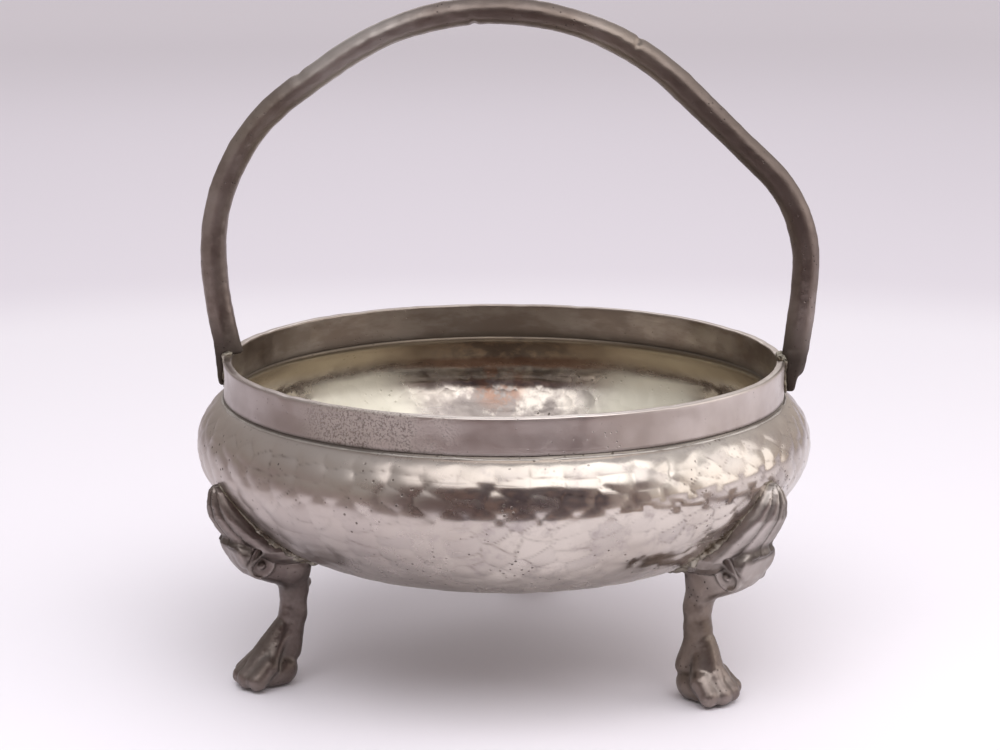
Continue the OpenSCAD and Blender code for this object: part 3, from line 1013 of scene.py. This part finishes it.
def build_seam(material):
    out, drop, radius = 0.16, 0.72, 0.36
    outline = np.array(arc((RIM_R + out, SEAM_Z - drop), radius, 0, 360, 13)[:-1])

    def shape(points, angle):
        """A bead that swells and wanders."""
        flat = np.column_stack([np.cos(angle) * RIM_R, np.sin(angle) * RIM_R, np.zeros(len(angle))])
        swell = np.clip(1 + 0.12 * waves(flat, 9, 13) + 0.08 * waves(flat, 3, 14), 0.6, 1.35)
        centre = np.column_stack([flat[:, :2] * (RIM_R + out) / RIM_R, np.full(len(angle), SEAM_Z - drop)])
        points = centre + (points - centre) * swell[:, None]
        points[:, 2] += 0.05 * waves(flat, 14, 15)
        return points, {"dirt_and_shade": np.zeros(len(points)), "worn": np.full(len(points), 0.8)}

    build_turned("seam_solder_bead", outline, shape, "seam_solder", material)


# ------------------------------------------------------------------ stage, lights and camera


def stage_sheet(name, points, faces, material):
    mesh = bpy.data.meshes.new(name)
    mesh.from_pydata(points, [], faces)
    mesh.materials.append(material)
    sheet = placed(name, mesh)
    return sheet


def floor_paint():
    """Pale, with painted shade a little darker behind the object where the light falls off, and pale again
    far off.
    """
    m = Paint("pale_floor")
    away = add_node(m.tree, "ShaderNodeVectorMath", {0: m.where}, operation="LENGTH").outputs["Value"]
    colour = m.mix((0.87, 0.83, 0.885), (0.775, 0.725, 0.79), m.level(away, 0.38, 0.50))
    colour = m.mix(colour, (0.98, 0.92, 0.99), m.level(away, 0.7, 1.9))
    return m.finish(colour, 0.7, metallic=0.0)


def cloth_paint():
    """Dark, mottled cloth, paler at its left and right ends."""
    m = Paint("dark_cloth")
    colour = m.mix((0.10, 0.085, 0.10), (0.27, 0.19, 0.165), m.level(m.noise(16, 2), 0.40, 0.60))
    across = m.place("X")
    aside = m.math("MAXIMUM", across, m.less(0.0, across))
    colour = m.mix(colour, (0.44, 0.385, 0.36), m.level(aside, 0.13, 0.24, 0.0, 0.85))
    return m.finish(colour, 0.9, metallic=0.0)


def build_stage():
    half, under_paws = 30.0, -0.0002
    square = [(-half, -half, 0), (half, -half, 0), (half, half, 0), (-half, half, 0)]
    floor = stage_sheet("floor", square, [(0, 1, 2, 3)], floor_paint())
    floor.location.z = under_paws

    # A dark card in front, with a low wing on the left and dark strips of floor before it and
    # on the right. It is seen only in the metal.
    left, right, front, near = -0.21, 0.34, -0.27, -0.155
    tall, wing, wing_end = 0.235, 0.07, 0.03
    strip_in, strip_out, strip_end = 0.13, 0.22, 0.04
    card_points = [
        (left, wing_end, 0), (left, front, 0), (right, front, 0),
        (left, wing_end, wing), (left, front, wing), (right, front, tall),
        (left, near, 0), (right, near, 0), (left, front, tall),
        (strip_in, near, 0), (strip_in, strip_end, 0), (strip_out, strip_end, 0), (strip_out, near, 0),
    ]
    card_faces = [(0, 1, 4, 3), (1, 2, 5, 8), (1, 6, 7, 2), (9, 12, 11, 10)]
    card = stage_sheet("dark_card", card_points, card_faces, cloth_paint())
    card.visible_camera = False
    card.visible_diffuse = False
    card.visible_shadow = False


def area_light(name, place, target, size, power, colour):
    data = bpy.data.lights.new(name, "AREA")
    data.shape = "RECTANGLE"
    data.size, data.size_y = size
    data.energy = power
    data.color = colour
    light = placed(name, data)
    light.location = place
    light.rotation_mode = "QUATERNION"
    light.rotation_quaternion = (Vector(target) - Vector(place)).to_track_quat("-Z", "Y")
    return light


def build_lights():
    world = bpy.data.worlds.new("studio")
    bpy.context.scene.world = world
    world.use_nodes = True
    tree = world.node_tree
    tree.nodes.clear()
    where = add_node(tree, "ShaderNodeTexCoord").outputs["Generated"]
    split = add_node(tree, "ShaderNodeSeparateXYZ", {"Vector": where}).outputs
    # Warmer towards the floor, and lighter towards the right, as beside a window
    up = add_node(tree, "ShaderNodeMapRange", {"Value": split["Z"], "From Min": 0.0, "From Max": 0.9})
    sky = add_node(
        tree, "ShaderNodeMix", {0: up.outputs["Result"], 6: (0.70, 0.61, 0.55), 7: (0.93, 0.92, 0.95)},
        data_type="RGBA",
    )
    side = add_node(
        tree, "ShaderNodeMapRange",
        {"Value": split["X"], "From Min": -0.2, "From Max": 0.9, "To Min": 0.58, "To Max": 1.0},
    )
    inputs = {"Color": sky.outputs[2], "Strength": side.outputs["Result"]}
    background = add_node(tree, "ShaderNodeBackground", inputs)
    out = add_node(tree, "ShaderNodeOutputWorld")
    tree.links.new(background.outputs["Background"], out.inputs["Surface"])
    area_light("front_softbox", (0.08, -0.38, 0.62), (0, 0, 0.05), (1.0, 0.55), 2.4, (1.0, 0.985, 0.985))
    area_light("right_panel", (0.80, 0.02, 0.36), (0, 0, 0.06), (0.7, 0.6), 1.2, (1.0, 0.985, 0.985))
    area_light("back_panel", (-0.1, 0.95, 0.75), (0, 0, 0.06), (0.9, 0.5), 2.0, (0.98, 0.975, 1.0))
    # Lights the floor and the pale cream patches inside; the metal doesn't mirror it
    fill = area_light("floor_fill", (-0.06, -0.38, 0.66), (0, 0, 0), (0.9, 0.5), 2.3, (0.94, 0.975, 1.0))
    fill.visible_glossy = False


def build_camera():
    """The photo's view: from the front, 0.56 m off, looking a little down."""
    tilt_down = math.radians(12.18)
    data = bpy.data.cameras.new("camera")
    data.sensor_fit = "HORIZONTAL"
    data.sensor_width = 36
    data.lens = 95.94
    data.clip_start = 0.01
    data.clip_end = 50
    camera = placed("camera", data)
    camera.location = (-0.0008, -0.560, 0.1831)
    camera.rotation_euler = (math.pi / 2 - tilt_down, 0, 0)
    bpy.context.scene.camera = camera


# ------------------------------------------------------------------ build

solder = solder_material()
# Patches in place: painted shade on the left foot, low down and on its leaf, and painted light on the right
# foot's leaf
cast_patches = [
    ((-45, -20, 14), 22, (0.12, 0.095, 0.088), 0.7),
    ((-58, -25, 36), 22, (0.17, 0.135, 0.125), 0.6),
    ((49, -38, 35), 16, (0.47, 0.43, 0.40), 0.6),
    ((52, -39, 43), 12, (0.60, 0.55, 0.52), 0.7),
]
cast = aged_pewter(
    "cast_pewter", (0.165, 0.13, 0.118), (0.32, 0.27, 0.245), 0.32, 0.46, (620, 0.00008), cast_patches
)
# Patches in place: a pale patch on the upper left, partly wear and partly a painted highlight, and painted
# shade on the right and at the top
rod_patches = [
    ((-32, 0, 132), 22, (0.46, 0.42, 0.40), 0.7),
    ((52, 0, 108), 44, (0.17, 0.135, 0.12), 0.8),
    ((0, 0, 142), 18, (0.17, 0.135, 0.12), 0.6),
]
rod = aged_pewter(
    "rod_pewter", (0.23, 0.185, 0.165), (0.34, 0.29, 0.265), 0.36, 0.50, (520, 0.00007), rod_patches
)

build_shell(hammered_pewter())
build_band(band_pewter())
build_seam(solder)
build_handle(rod)
build_handle_solder("handle_solder_left", -1, 0.3, solder)
build_handle_solder("handle_solder_right", 1, 0.0, solder)
build_feet(cast, solder)
build_stage()
build_lights()
build_camera()
bpy.context.scene.view_settings.view_transform = "Standard"
